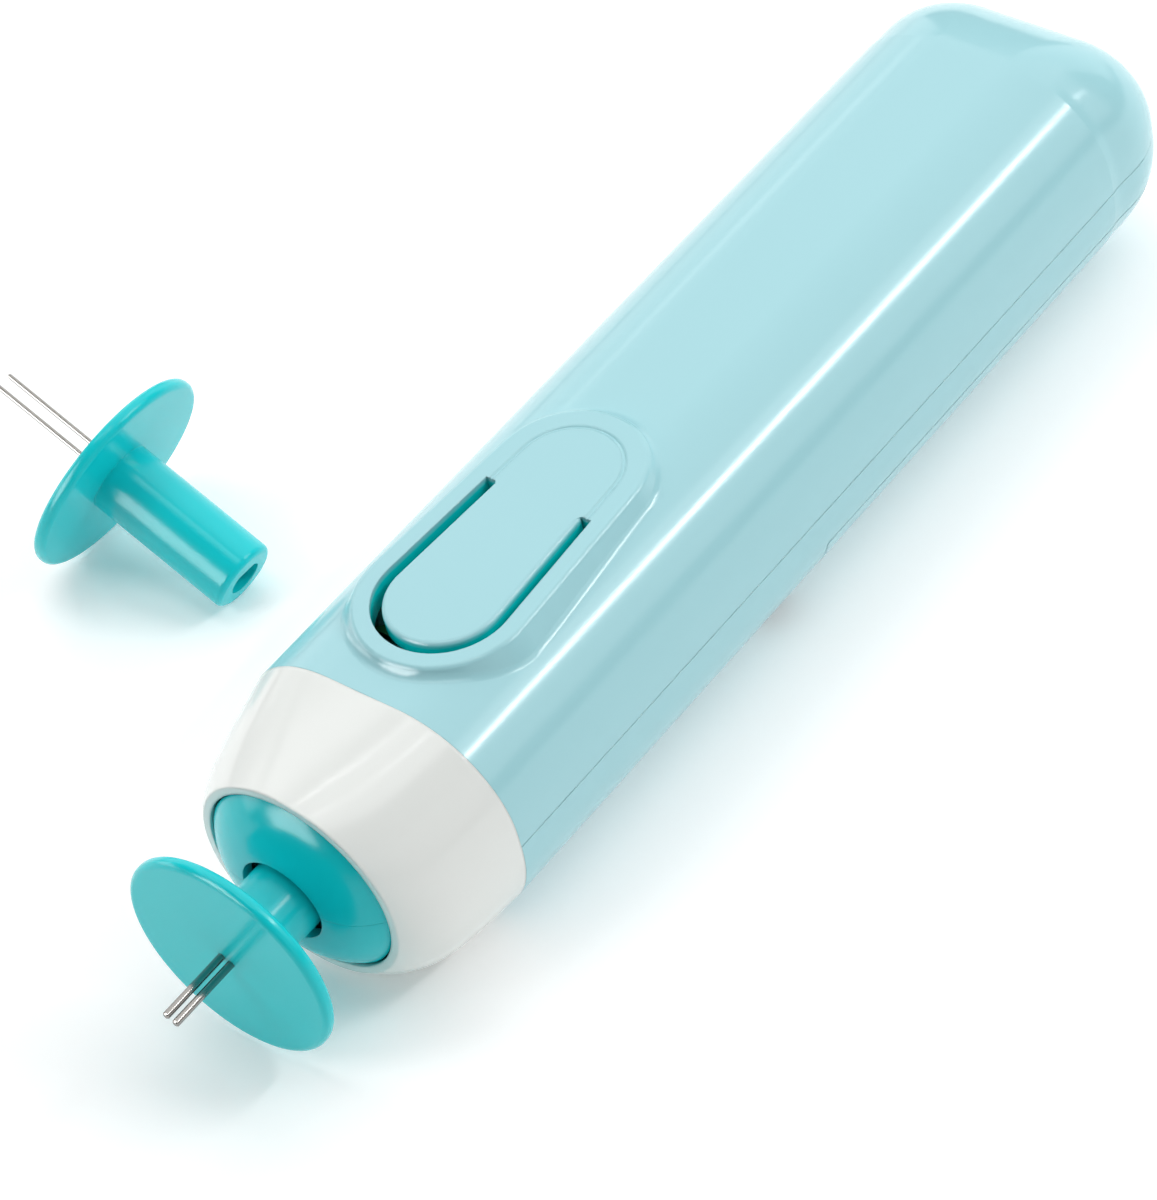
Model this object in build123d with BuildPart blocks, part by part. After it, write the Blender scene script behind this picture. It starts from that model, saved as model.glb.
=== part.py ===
from build123d import *
import math
import os

# Electric quilling tool lying on its back, with a spare head beside it. Millimetres, +Z up.
# +X runs along the tool towards its slotted tip, and the button faces up.
# The origin is the middle of the flat rest face under the front of the lower housing.
# Stations along the tool are measured from the seam between the body and the collar,
# heights and sides from the line of the spindle.

# Body
body_width = 34.0
body_height = 27.4
side_flat = 1.4
body_length = 121.4
housing_wall = 1.8
parting_rise = 0.1
parting_groove = 0.14
parting_groove_height = 0.12
overrun = 1.0
slip = 0.2
face_gap = 0.1

# Rounded tail: how far each curve reaches along the body, and how far it draws in
tail_plan_reach = 10.2
tail_plan_inset = 9.9
tail_side_reach = 14.9
tail_side_inset = 12.9
tail_angles = (0, 15, 30, 44, 57, 68, 78, 86)

# Lap between the two housings, and the spigot that carries the collar
lip_height = 1.2
lap_gap = 0.1
spigot_length = 2.2
spigot_root = 3.0
spigot_wall = 1.6

# Collar
collar_length = 14.3
collar_rim_radius = 12.3
collar_wall = 1.7
collar_rebate = 1.2
collar_opening_radius = 11.4
collar_shares = (0.0, 0.2, 0.4, 0.58, 0.73, 0.85, 0.94, 1.0)
collar_points = 24
chin_power = 4.7
chin_root = 0.9

# Two-part nose insert
insert_lip_radius = 11.2
insert_lip_length = 1.2
insert_shoulder = 14.0
insert_crown_x = 15.95
insert_crown_radius = 8.9
insert_length = 17.1
insert_hole_radius = 4.97
insert_wall = 1.4
insert_throat_x = 13.2
insert_skirt_radius = 10.0
insert_web_front = 4.0
insert_web_rear = 1.0
insert_rear = 4.2
insert_flange_radius = 11.3
insert_flange_length = 1.1
flange_rib = 1.2
flange_rib_radius = 10.4

# Bush and spindle
bush_radius = 4.0
bush_length = 4.5
bush_flange_radius = 5.2
bush_flange_length = 0.8
spindle_radius = 2.0
spindle_flat = 1.6
spindle_front = 17.5
spindle_flat_rear = 6.0
spindle_stop_radius = 3.2
spindle_stop_length = 1.2
stub_radius = 0.8
stub_rear = 16.3
bore_clearance = 0.05

# Heads: the one on the spindle has two close pins, the spare one two long fine needles
disc_radius = 12.5
disc_thickness = 1.6
head_edge = 0.7
disc_face = 25.8
shank_radius = 4.15
shank_length = 18.0
socket_depth = 12.0
pin_radius = 0.42
pin_spacing = 1.2
pin_length = 8.6
pin_seat = 5.0
pin_point = 0.12
pin_roll = -26.6
needle_radius = 0.27
needle_spacing = 1.75
needle_length = 15.5
needle_roll = -8.5
spare_x = 3.6
spare_y = -58.4
spare_heading = 268.2

# Raised pad, slit and button flap
slit_front_margin = 6.57
slit_run = 20.4
slit_front_inset = 9.97
slit_rear_inset = 11.12
slit_width = 1.2
slit_end_run = 15.5
pad_band = 2.55
pad_rise = 1.0
pad_spread = 1.5
pad_depth = 2.9
pad_edge = 0.5
pad_foot = 1.2
flap_thickness = 1.8
flap_edge = 0.45
flap_root_gap = 0.2
groove_width = 0.5
groove_depth = 0.3
nub_radius = 1.4

# Switch and its board
board_rear = 27.0
board_length = 16.0
board_inset = 6.5
board_thickness = 0.8
board_height = 7.3
post_radius = 1.2
post_side_inset = 1.2
post_inset = 1.6
board_screw_radius = 0.6
board_screw_reach = 2.0
board_screw_head_radius = 1.1
board_screw_head = 0.6
switch_size = 6.0
switch_height = 3.2
switch_edge = 0.3
switch_back = 16.0
plunger_radius = 1.6
plunger_length = 1.7
plunger_rise = 0.75

# Gear train: four equal stages between the spindle line and one layshaft
gear_room = 0.28
wheel_teeth = 26
pinion_teeth = 10
tooth_share = 0.8
tooth_tip_share = 0.42
tooth_root_share = 1.25
wheel_tip_share = 0.8
pinion_tip_share = 0.9
wheel_face = 1.8
pinion_face = 3.0
gearbox_front = 7.2
plate_thickness = 1.2
plate_gap = 0.6
plate_inset = 4.0
plate_height = 14.0
plate_corner = 3.0
pillar_radius = 1.1
pillar_spigot_radius = 0.6
pillar_near = 8.6
pillar_inset = 1.3
pillar_rise = 5.0
plate_seat = 6.15
plate_cradle_half_width = 9.0
plate_cradle_wall = 1.0
hold_down_inset = 1.0
hold_down_width = 3.2

# Motor
motor_diameter = 15.5
motor_flat = 12.0
motor_length = 20.0
motor_cap_length = 1.6
motor_cap_inset = 0.3
motor_boss_radius = 1.6
motor_boss_length = 0.9
motor_shaft_radius = 0.5
motor_shaft_seat = 3.0
terminal_width = 2.2
terminal_thickness = 0.4
terminal_length = 2.4
terminal_spread = 5.0
cradle_back = 36.0
cradle_thickness = 1.2
cradle_half_width = 9.5
cradle_top = 3.0
cradle_rib_half_width = 4.0

# Batteries: two AA cells side by side, laid opposite ways
cell_room = 0.8
cell_apart = 0.2
cell_edge = 0.6
nub_length = 1.3
nub_cap_radius = 2.7
cell_gap = 0.05
spring_length = 4.6
spring_wire = 0.35
spring_flats = 6
spring_pitch = 1.35
spring_root_radius = 4.2
spring_taper = -22.0
contact_thickness = 0.4
contact_inset = 1.6
contact_edge = 1.0
bulkhead_rear = 56.6
bulkhead_thickness = 1.4
bulkhead_gap = 1.0
bulkhead_foot = 10.2
bulkhead_foot_inset = 9.0
saddle_thickness = 1.2
saddle_low = 1.6
saddle_fit = 0.15
saddle_shares = (0.2, 0.5, 0.8)
bridge_rib_inset = 5.0
tail_room = 9.25

# Battery cover
cover_front = 52.0
cover_edge = 4.9
cover_gap = 0.15
cover_rib_top = 5.2
hook_shares = (0.2, 0.6)
hook_length = 5.0
hook_inset = 3.0
hook_thickness = 0.7
hook_nib_reach = 0.8
hook_foot = 7.5
hook_top = 2.9
hook_nib_height = 0.9
hook_travel = 6.0
hook_room = 0.15
grip_start = 56.0
grip_count = 5
grip_pitch = 2.2
grip_width = 0.9
grip_depth = 0.4
grip_length = 7.0
tongue_length = 2.8
tongue_half_width = 4.0
tongue_thickness = 1.2
tongue_root = 3.0

# Housing screws
screw_back = 47.6
screw_inset = 6.2
screw_radius = 1.1
screw_head_radius = 2.1
screw_head_length = 1.5
screw_seat = 7.2
screw_reach = 7.0
screw_boss_radius = 2.7
screw_recess_radius = 2.4
screw_recess_wall = 1.2
driver_slot = 0.6
driver_depth = 0.7
driver_length = 2.6

# Places that follow from the sizes above
axis_z = body_height / 2
corner_radius = body_height / 2 - side_flat
seam_x = cover_front / 2
pad_top = body_height / 2 + pad_rise
flap_bottom = pad_top - flap_thickness
inner_top = body_height / 2 - housing_wall
inner_side = body_width / 2 - housing_wall
slit_front_radius = body_width / 2 - slit_front_inset
slit_rear_radius = body_width / 2 - slit_rear_inset
slit_front = slit_front_radius + slit_front_margin
slit_end = slit_front + slit_end_run
board_width = body_width - 2 * board_inset
post_spread = board_width / 2 - post_side_inset
plate_width = body_width - 2 * plate_inset
pillar_far = plate_width / 2 - pillar_inset
hold_down_outer = plate_width / 2 - hold_down_inset
hold_down_inner = hold_down_outer - hold_down_width
gear_reach = wheel_teeth + pinion_teeth / 2 + wheel_tip_share
gear_module = (plate_width / 2 - gear_room) / gear_reach
layshaft_y = -gear_module * (wheel_teeth + pinion_teeth) / 2
output_front = -gearbox_front - plate_thickness - plate_gap
output_rear = output_front - wheel_face
third_front = output_front + slip
second_front = third_front - pinion_face + slip
first_front = second_front - pinion_face + slip
motor_pinion_front = first_front - pinion_face + slip
motor_pinion_rear = motor_pinion_front - wheel_face - 2 * slip
rear_plate_front = motor_pinion_rear - plate_gap
motor_front = rear_plate_front - plate_thickness
motor_rear = motor_front - motor_length
board_top = board_height + board_thickness
switch_top = board_top + switch_height
plunger_top = switch_top + plunger_rise
contact_front = -bulkhead_rear - contact_thickness
cell_one_front = contact_front - cell_gap
bridge_front = tail_room - body_length
cell_one_rear = bridge_front + spring_length
cell_length = cell_one_front - nub_length - cell_one_rear
cell_two_rear = bridge_front + cell_gap
cell_two_front = cell_two_rear + nub_length + cell_length
cell_radius = (inner_side - cell_room - cell_apart) / 2
cell_spread = cell_radius + cell_apart
contact_size = 2 * (cell_radius - contact_inset)
bridge_width = 2 * cell_spread + contact_size
bulkhead_half_width = inner_side - bulkhead_gap
bulkhead_foot_half_width = body_width / 2 - bulkhead_foot_inset
bridge_rib_half_width = body_width / 2 - bridge_rib_inset
hook_backs = [cover_front + share * (body_length - cover_front) for share in hook_shares]
hook_inner = body_width / 2 - hook_inset
hook_outer = hook_inner + hook_thickness
hook_nib = hook_outer + hook_nib_reach
screw_spread = body_width / 2 - screw_inset

os.makedirs("parts", exist_ok=True)


def save(piece, name):
    piece.part.label = name
    export_step(piece.part, "parts/" + name + ".step")


def station(along):
    # Plane across the tool: its x is the tool's side, its y is up, and it is centred on the spindle
    return Plane(origin=(seam_x + along, 0, axis_z), x_dir=(0, 1, 0), z_dir=(1, 0, 0))


def level(height):
    # Horizontal plane at a height from the spindle line, with its zero at the body seam
    return Plane(origin=(seam_x, 0, axis_z + height), x_dir=(1, 0, 0), z_dir=(0, 0, 1))


def body_section(inset, mode=Mode.ADD):
    RectangleRounded(body_width - 2 * inset, body_height - 2 * inset, corner_radius - inset, mode=mode)


def slit_outline(offset, mode=Mode.ADD):
    # The button's outline: a large circle towards the nose, a small one towards the tail
    with BuildSketch(mode=Mode.PRIVATE) as outline:
        with Locations((-slit_front, 0)):
            Circle(slit_front_radius + offset)
        with Locations((-slit_front - slit_run, 0)):
            Circle(slit_rear_radius + offset)
        make_hull()
    add(outline.sketch, mode=mode)


def block(low, high, rear, front, half_width, middle=0, mode=Mode.ADD):
    # Upright block between two heights and two stations
    with BuildSketch(level(low)) as face:
        with Locations(((rear + front) / 2, middle)):
            Rectangle(front - rear, 2 * half_width)
    extrude(face.sketch, amount=high - low, mode=mode)


def bar(rear, front, radius, side=0, rise=0, mode=Mode.ADD):
    # Round bar along the tool
    with BuildSketch(station(rear)) as face:
        with Locations((side, rise)):
            Circle(radius)
    extrude(face.sketch, amount=front - rear, mode=mode)


def upright(along, side, low, high, radius, mode=Mode.ADD):
    # Round upright bar
    with BuildSketch(level(low)) as face:
        with Locations((along, side)):
            Circle(radius)
    extrude(face.sketch, amount=high - low, mode=mode)


def body_ring(outer, inner, rear, front):
    # A length of wall between two insets from the body's outline
    with BuildSketch(station(rear)) as face:
        body_section(outer)
        body_section(inner, mode=Mode.SUBTRACT)
    extrude(face.sketch, amount=front - rear)


def body_form(inset, front):
    # The body's outline drawn in by an even inset, up to its rounded tail
    side_reach = tail_side_reach - inset
    plan_reach = tail_plan_reach - inset
    half_width = body_width / 2 - inset
    half_height = body_height / 2 - inset
    end = inset - body_length
    with BuildPart() as form:
        with BuildSketch(station(end + side_reach)):
            body_section(inset)
        extrude(amount=front - end - side_reach)
        for angle in tail_angles:
            along = side_reach * (1 - math.sin(math.radians(angle)))
            drop = (tail_side_inset - inset) * (1 - math.cos(math.radians(angle)))
            turn = max(0.0, 1 - along / plan_reach)
            narrow = (tail_plan_inset - inset) * (1 - math.sqrt(1 - turn * turn))
            height = half_height - drop
            corner = (corner_radius - inset) * height / half_height
            with BuildSketch(station(end + along)):
                RectangleRounded(2 * (half_width - narrow), 2 * height, corner)
        loft()
    return form.part


def edge_radius(angle):
    # Distance from the middle of the body's section to its edge, in the direction of an angle
    across = abs(math.cos(angle))
    up = abs(math.sin(angle))
    half_width = body_width / 2
    half_height = body_height / 2
    flat_width = half_width - corner_radius
    flat_height = half_height - corner_radius
    if half_width * up <= flat_height * across:
        return half_width / across
    if half_height * across <= flat_width * up:
        return half_height / up
    reach = flat_width * across + flat_height * up
    return reach + math.sqrt(reach**2 - flat_width**2 - flat_height**2 + corner_radius**2)


def collar_form(inset):
    # The body's section runs into the round nose, straight along the top and with a fuller chin
    with BuildPart() as form:
        for share in collar_shares:
            chin = 1 - (1 - share**chin_power) ** chin_root
            with BuildSketch(station(share * collar_length)):
                with BuildLine():
                    points = []
                    for step in range(collar_points):
                        angle = 2 * math.pi * (step + 1 / 2) / collar_points
                        top = (1 + math.sin(angle)) / 2
                        blend = top * share + (1 - top) * chin
                        edge = edge_radius(angle)
                        radius = edge + (collar_rim_radius - edge) * blend - inset
                        points.append((radius * math.cos(angle), radius * math.sin(angle)))
                    Spline(*points, periodic=True)
                make_face()
        loft()
    return form.part


def gear(teeth, tip_share, rear, front, side, phase):
    # Straight-sided teeth, slimmer than half the pitch so that the train turns freely
    pitch_radius = gear_module * teeth / 2
    root_radius = pitch_radius - tooth_root_share * gear_module
    tip_radius = pitch_radius + tip_share * gear_module
    pitch_half = tooth_share * math.pi * gear_module / 4
    tip_half = pitch_half * tooth_tip_share / tooth_share
    root_half = pitch_half + (pitch_half - tip_half) * tooth_root_share / tip_share
    inside = math.sqrt(root_radius**2 - root_half**2) - gear_module / 4
    with BuildSketch(station(rear)) as face:
        with Locations((side, 0)):
            Circle(root_radius)
            with PolarLocations(0, teeth, start_angle=phase):
                Polygon(
                    (inside, -root_half),
                    (tip_radius, -tip_half),
                    (tip_radius, tip_half),
                    (inside, root_half),
                    align=None,
                )
    extrude(face.sketch, amount=front - rear)


def bored(rear, front, radius, side):
    # Through bore of a gear or a plate
    bar(rear - overrun, front + overrun, radius, side, mode=Mode.SUBTRACT)


def at_both_sides(distance):
    return (-distance, distance)


outer_form = body_form(0, 0)
root_form = body_form(housing_wall / 2, 0)
lip_form = body_form(housing_wall / 2 + lap_gap, 0)
inner_form = body_form(housing_wall, overrun)

# Rebate in the upper housing's wall, and the lip on the lower housing that fits it
lap_front = -spigot_root - slip
with BuildPart() as rebate:
    add(root_form)
    add(inner_form, mode=Mode.SUBTRACT)
    block(
        parting_rise - overrun, parting_rise + lip_height + lap_gap, -body_length, lap_front, body_width,
        mode=Mode.INTERSECT,
    )
with BuildPart() as lip:
    add(lip_form)
    add(inner_form, mode=Mode.SUBTRACT)
    block(
        parting_rise - lip_height, parting_rise + lip_height, -body_length, lap_front - slip, body_width,
        mode=Mode.INTERSECT,
    )

# Upper housing: ribs and posts first, trimmed to run into the wall
with BuildPart() as upper_ribs:
    with BuildSketch(station(-insert_rear - slip - flange_rib)):
        body_section(0)
        Circle(flange_rib_radius, mode=Mode.SUBTRACT)
    extrude(amount=flange_rib)
    for side in at_both_sides((hold_down_inner + hold_down_outer) / 2):
        block(
            plate_height / 2 + face_gap, body_height, -gearbox_front - plate_thickness, -gearbox_front,
            (hold_down_outer - hold_down_inner) / 2, side,
        )
    block(
        motor_flat / 2 + face_gap, body_height, -cradle_back - cradle_thickness, -cradle_back,
        cradle_rib_half_width,
    )
    for side in at_both_sides(screw_spread):
        upright(-screw_back, side, parting_rise, body_height, screw_boss_radius)
    for along in (-board_rear + post_inset, -board_rear + board_length - post_inset):
        for side in at_both_sides(post_spread):
            upright(along, side, board_top, body_height, post_radius)
    block(parting_rise, body_height, -bulkhead_rear, -bulkhead_rear + bulkhead_thickness, body_width)
    for share in saddle_shares:
        middle = cell_one_front - share * cell_length
        block(saddle_low, body_height, middle - saddle_thickness, middle, body_width)
    block(
        parting_rise, body_height, bridge_front - contact_thickness - saddle_thickness,
        bridge_front - contact_thickness, body_width,
    )
    add(root_form, mode=Mode.INTERSECT)
    block(-body_height, parting_rise, -body_length, overrun, body_width, mode=Mode.SUBTRACT)
    for side in at_both_sides(cell_spread):
        bar(
            cell_two_rear, cell_one_front, cell_radius + saddle_fit, side, mode=Mode.SUBTRACT
        )
    for side in at_both_sides(screw_spread):
        upright(-screw_back, side, 0, screw_reach + slip, screw_radius, mode=Mode.SUBTRACT)
    for along in (-board_rear + post_inset, -board_rear + board_length - post_inset):
        for side in at_both_sides(post_spread):
            upright(
                along, side, board_top - overrun, board_top + board_screw_reach + slip, board_screw_radius,
                mode=Mode.SUBTRACT,
            )
    block(
        -contact_size / 2, parting_rise, -bulkhead_rear, -bulkhead_rear + bulkhead_thickness,
        bulkhead_half_width,
    )
    block(
        -bulkhead_foot, -contact_size / 2, -bulkhead_rear, -bulkhead_rear + bulkhead_thickness,
        bulkhead_foot_half_width,
    )
    block(
        -contact_size / 2, parting_rise, bridge_front - contact_thickness - saddle_thickness,
        bridge_front - contact_thickness, bridge_rib_half_width,
    )

# The button's slit leaves the flap standing free except at its root
with BuildPart() as flap_opening:
    with BuildSketch(level(inner_top - overrun)):
        slit_outline(slit_width / 2)
        with Locations((-slit_end - body_length / 2, 0)):
            Rectangle(body_length, body_width, mode=Mode.SUBTRACT)
    extrude(amount=pad_rise + housing_wall + 2 * overrun)

with BuildPart() as upper_housing:
    add(outer_form)
    block(-body_height, parting_rise, -body_length - overrun, overrun, body_width, mode=Mode.SUBTRACT)
    with BuildSketch(level(pad_top)):
        slit_outline(pad_band)
    with BuildSketch(level(pad_top - pad_depth)):
        slit_outline(pad_band + pad_spread)
    loft()
    fillet(upper_housing.edges(Select.NEW), pad_foot)
    fillet(upper_housing.faces().sort_by(Axis.Z)[-1].edges(), pad_edge)
    add(inner_form, mode=Mode.SUBTRACT)
    body_ring(collar_rebate + face_gap, collar_rebate + face_gap + spigot_wall, -spigot_root, spigot_length)
    block(-body_height, parting_rise, -body_length - overrun, collar_length, body_width, mode=Mode.SUBTRACT)
    add(upper_ribs.part)
    add(rebate.part, mode=Mode.SUBTRACT)
    add(flap_opening.part, mode=Mode.SUBTRACT)
    with BuildSketch(level(pad_top - groove_depth)):
        slit_outline(groove_width / 2)
        slit_outline(-groove_width / 2, mode=Mode.SUBTRACT)
        with Locations((-slit_end + body_length / 2, 0)):
            Rectangle(body_length, body_width, mode=Mode.SUBTRACT)
    extrude(amount=groove_depth + overrun, mode=Mode.SUBTRACT)
save(upper_housing, "upper_housing")


# Lower housing: ribs, gearbox cradles and screw bosses, then the shell with the battery opening
with BuildPart() as lower_ribs:
    with BuildSketch(station(-insert_rear - slip - flange_rib)):
        body_section(0)
        Circle(flange_rib_radius, mode=Mode.SUBTRACT)
    extrude(amount=flange_rib)
    for plate_rear in (-gearbox_front - plate_thickness, motor_front):
        block(
            -body_height, -plate_seat, plate_rear - plate_cradle_wall,
            plate_rear + plate_thickness + plate_cradle_wall, plate_cradle_half_width,
        )
    block(
        -body_height, -cradle_top, -cradle_back - cradle_thickness, -cradle_back, cradle_half_width
    )
    for side in at_both_sides(screw_spread):
        upright(-screw_back, side, -body_height, parting_rise, screw_recess_radius + screw_recess_wall)
    add(root_form, mode=Mode.INTERSECT)
    block(parting_rise, body_height, -body_length, overrun, body_width, mode=Mode.SUBTRACT)
    with BuildSketch(station(-cradle_back + overrun)):
        Circle(motor_diameter / 2 + face_gap)
        Rectangle(motor_diameter + body_width, motor_flat + 2 * face_gap, mode=Mode.INTERSECT)
    extrude(amount=-cradle_thickness - 2 * overrun, mode=Mode.SUBTRACT)

with BuildPart() as lower_housing:
    add(outer_form)
    add(inner_form, mode=Mode.SUBTRACT)
    body_ring(collar_rebate + face_gap, collar_rebate + face_gap + spigot_wall, -spigot_root, spigot_length)
    block(parting_rise, body_height, -body_length - overrun, collar_length, body_width, mode=Mode.SUBTRACT)
    block(-body_height, -cover_edge, -body_length - overrun, -cover_front, body_width, mode=Mode.SUBTRACT)
    add(lower_ribs.part)
    add(lip.part)
    for plate_rear in (-gearbox_front - plate_thickness, motor_front):
        block(
            -plate_height / 2 - face_gap, 0, plate_rear - face_gap / 2,
            plate_rear + plate_thickness + face_gap / 2, plate_width / 2 + face_gap, mode=Mode.SUBTRACT,
        )
    for side in at_both_sides(screw_spread):
        upright(
            -screw_back, side, -body_height, -screw_seat, screw_recess_radius, mode=Mode.SUBTRACT
        )
        upright(
            -screw_back, side, -screw_seat - overrun, parting_rise + overrun, screw_radius + bore_clearance,
            mode=Mode.SUBTRACT,
        )
    for back in hook_backs:
        for side in (-1, 1):
            middle = side * (hook_inner + hook_nib) / 2
            block(
                -hook_top - hook_nib_height - hook_room, -hook_top + hook_room,
                -back - hook_length - hook_travel, -back + hook_room, (hook_nib - hook_inner) / 2 + hook_room,
                middle, mode=Mode.SUBTRACT,
            )
            block(
                -cover_edge - overrun, -hook_top, -back - hook_length - hook_travel - hook_room,
                -back - hook_travel + hook_room, (hook_nib - hook_inner) / 2 + hook_room, middle,
                mode=Mode.SUBTRACT,
            )
            block(
                -cover_edge - overrun, -hook_top, -back - hook_length - hook_travel, -back + hook_room,
                (hook_outer - hook_inner) / 2 + hook_room, side * (hook_inner + hook_outer) / 2,
                mode=Mode.SUBTRACT,
            )
    with BuildSketch(station(-body_length - overrun)):
        with Locations((0, parting_rise - parting_groove_height / 2)):
            Rectangle(body_width + overrun, parting_groove_height)
            Rectangle(body_width - 2 * parting_groove, parting_groove_height, mode=Mode.SUBTRACT)
    extrude(amount=body_length + overrun, mode=Mode.SUBTRACT)
save(lower_housing, "lower_housing")

# Battery cover: slides towards the tail and drops away; its hooks hold it up against the housing
with BuildPart() as cover_ribs:
    for share in saddle_shares:
        middle = cell_one_front - share * cell_length
        block(-body_height, -cover_rib_top, middle - saddle_thickness, middle, body_width)
    add(root_form, mode=Mode.INTERSECT)
    for side in at_both_sides(cell_spread):
        bar(cell_two_rear, cell_one_front, cell_radius + saddle_fit, side, mode=Mode.SUBTRACT)

cover_end = -cover_front - cover_gap
with BuildPart() as battery_cover:
    add(outer_form)
    add(inner_form, mode=Mode.SUBTRACT)
    block(
        -body_height, -cover_edge - cover_gap, -body_length - overrun, cover_end, body_width,
        mode=Mode.INTERSECT,
    )
    add(cover_ribs.part)
    block(
        -inner_top - housing_wall / 2, -inner_top + face_gap + tongue_thickness, cover_end - tongue_root,
        cover_end, tongue_half_width,
    )
    block(
        -inner_top + face_gap, -inner_top + face_gap + tongue_thickness, cover_end - tongue_root,
        cover_end + tongue_length, tongue_half_width,
    )
    for back in hook_backs:
        for side in (-1, 1):
            block(
                -hook_foot, -hook_top, -back - hook_length, -back, (hook_outer - hook_inner) / 2,
                side * (hook_inner + hook_outer) / 2,
            )
            block(
                -hook_top - hook_nib_height, -hook_top, -back - hook_length, -back,
                (hook_nib - hook_inner) / 2, side * (hook_inner + hook_nib) / 2,
            )
    with BuildSketch(level(-body_height / 2 - overrun)):
        with Locations((-grip_start - (grip_count - 1) * grip_pitch / 2, 0)):
            with GridLocations(grip_pitch, grip_length, grip_count, 1):
                SlotOverall(grip_length, grip_width, rotation=90)
    extrude(amount=grip_depth + overrun, mode=Mode.SUBTRACT)
save(battery_cover, "battery_cover")

# Button flap: cut free by the slit, joined to the pad only at its root
with BuildPart() as button_flap:
    with BuildSketch(level(flap_bottom)):
        slit_outline(-slit_width / 2)
        with Locations((-slit_end + flap_root_gap - body_length / 2, 0)):
            Rectangle(body_length, body_width, mode=Mode.SUBTRACT)
    extrude(amount=flap_thickness)
    crest = button_flap.edges().group_by(Axis.Z)[-1]
    fillet(crest.sort_by(Axis.X)[1:], flap_edge)
    upright(-switch_back, 0, plunger_top + face_gap, flap_bottom, nub_radius)
save(button_flap, "button_flap")

# Collar: an open ring that slides over the spigot and clamps both housings together
outer_collar = collar_form(0)
inner_collar = collar_form(collar_wall)
with BuildPart() as collar:
    add(outer_collar)
    add(inner_collar, mode=Mode.SUBTRACT)
    with BuildSketch(station(-overrun)):
        body_section(collar_rebate)
    extrude(amount=overrun + spigot_length + face_gap, mode=Mode.SUBTRACT)
    bar(spigot_length, collar_length + overrun, collar_opening_radius, mode=Mode.SUBTRACT)
save(collar, "collar")


def nose_insert():
    # Domed front, skirt back into the housing, flange behind the spigot and web round the bush
    with BuildSketch(Plane(origin=(seam_x, 0, axis_z), x_dir=(1, 0, 0), z_dir=(0, -1, 0))) as profile:
        with BuildLine():
            Polyline(
                (insert_length, insert_hole_radius),
                (insert_length - insert_wall, insert_hole_radius),
                (insert_throat_x, insert_skirt_radius - insert_wall),
                (insert_web_front, insert_skirt_radius - insert_wall),
                (insert_web_front, bush_radius + bore_clearance),
                (insert_web_rear, bush_radius + bore_clearance),
                (insert_web_rear, insert_skirt_radius - insert_wall),
                (-insert_rear, insert_skirt_radius - insert_wall),
                (-insert_rear, insert_flange_radius),
                (insert_flange_length - insert_rear, insert_flange_radius),
                (insert_flange_length - insert_rear, insert_skirt_radius),
                (insert_shoulder - insert_lip_length, insert_skirt_radius),
                (insert_shoulder - insert_lip_length, insert_lip_radius),
                (insert_shoulder, insert_lip_radius),
            )
            ThreePointArc(
                (insert_shoulder, insert_lip_radius),
                (insert_crown_x, insert_crown_radius),
                (insert_length, insert_hole_radius),
            )
        make_face()
    revolve(profile.sketch, axis=Axis((seam_x, 0, axis_z), (1, 0, 0)))


with BuildPart() as nose_insert_upper:
    nose_insert()
    split(bisect_by=level(0), keep=Keep.TOP)
save(nose_insert_upper, "nose_insert_upper")

with BuildPart() as nose_insert_lower:
    nose_insert()
    split(bisect_by=level(0), keep=Keep.BOTTOM)
save(nose_insert_lower, "nose_insert_lower")

# Bush and spindle
with BuildPart() as front_bush:
    bar(0, bush_length, bush_radius)
    bar(bush_length, bush_length + bush_flange_length, bush_flange_radius)
    bar(-overrun, bush_length + 2 * overrun, spindle_radius + bore_clearance, mode=Mode.SUBTRACT)
save(front_bush, "front_bush")

with BuildPart() as spindle:
    bar(-stub_rear, output_rear, stub_radius)
    bar(output_rear, spindle_front, spindle_radius)
    bar(-face_gap - spindle_stop_length, -face_gap, spindle_stop_radius)
    block(
        spindle_flat, body_height, spindle_flat_rear, spindle_front + overrun, body_width, mode=Mode.SUBTRACT
    )
    chamfer(spindle.faces().sort_by(Axis.X)[-1].edges(), pin_point)
save(spindle, "spindle")

# Gears
wheel_phase = 360 / wheel_teeth / 2
with BuildPart() as output_gear:
    gear(wheel_teeth, wheel_tip_share, output_rear, output_front, 0, wheel_phase)
    bored(output_rear, output_front, spindle_radius, 0)
save(output_gear, "output_gear")

double_gears = (
    ("third_gear", third_front, layshaft_y),
    ("second_gear", second_front, 0),
    ("first_gear", first_front, layshaft_y),
)
for name, front, side in double_gears:
    wheel_front = front - pinion_face
    with BuildPart() as double_gear:
        gear(wheel_teeth, wheel_tip_share, wheel_front - wheel_face, wheel_front, side, wheel_phase)
        gear(pinion_teeth, pinion_tip_share, wheel_front, front, side, 0)
        bored(wheel_front - wheel_face, front, stub_radius + bore_clearance, side)
    save(double_gear, name)

with BuildPart() as motor_pinion:
    gear(pinion_teeth, pinion_tip_share, motor_pinion_rear, motor_pinion_front, 0, 0)
    bar(motor_front + motor_boss_length - motor_shaft_seat, motor_pinion_front, motor_shaft_radius)
save(motor_pinion, "motor_pinion")

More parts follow.
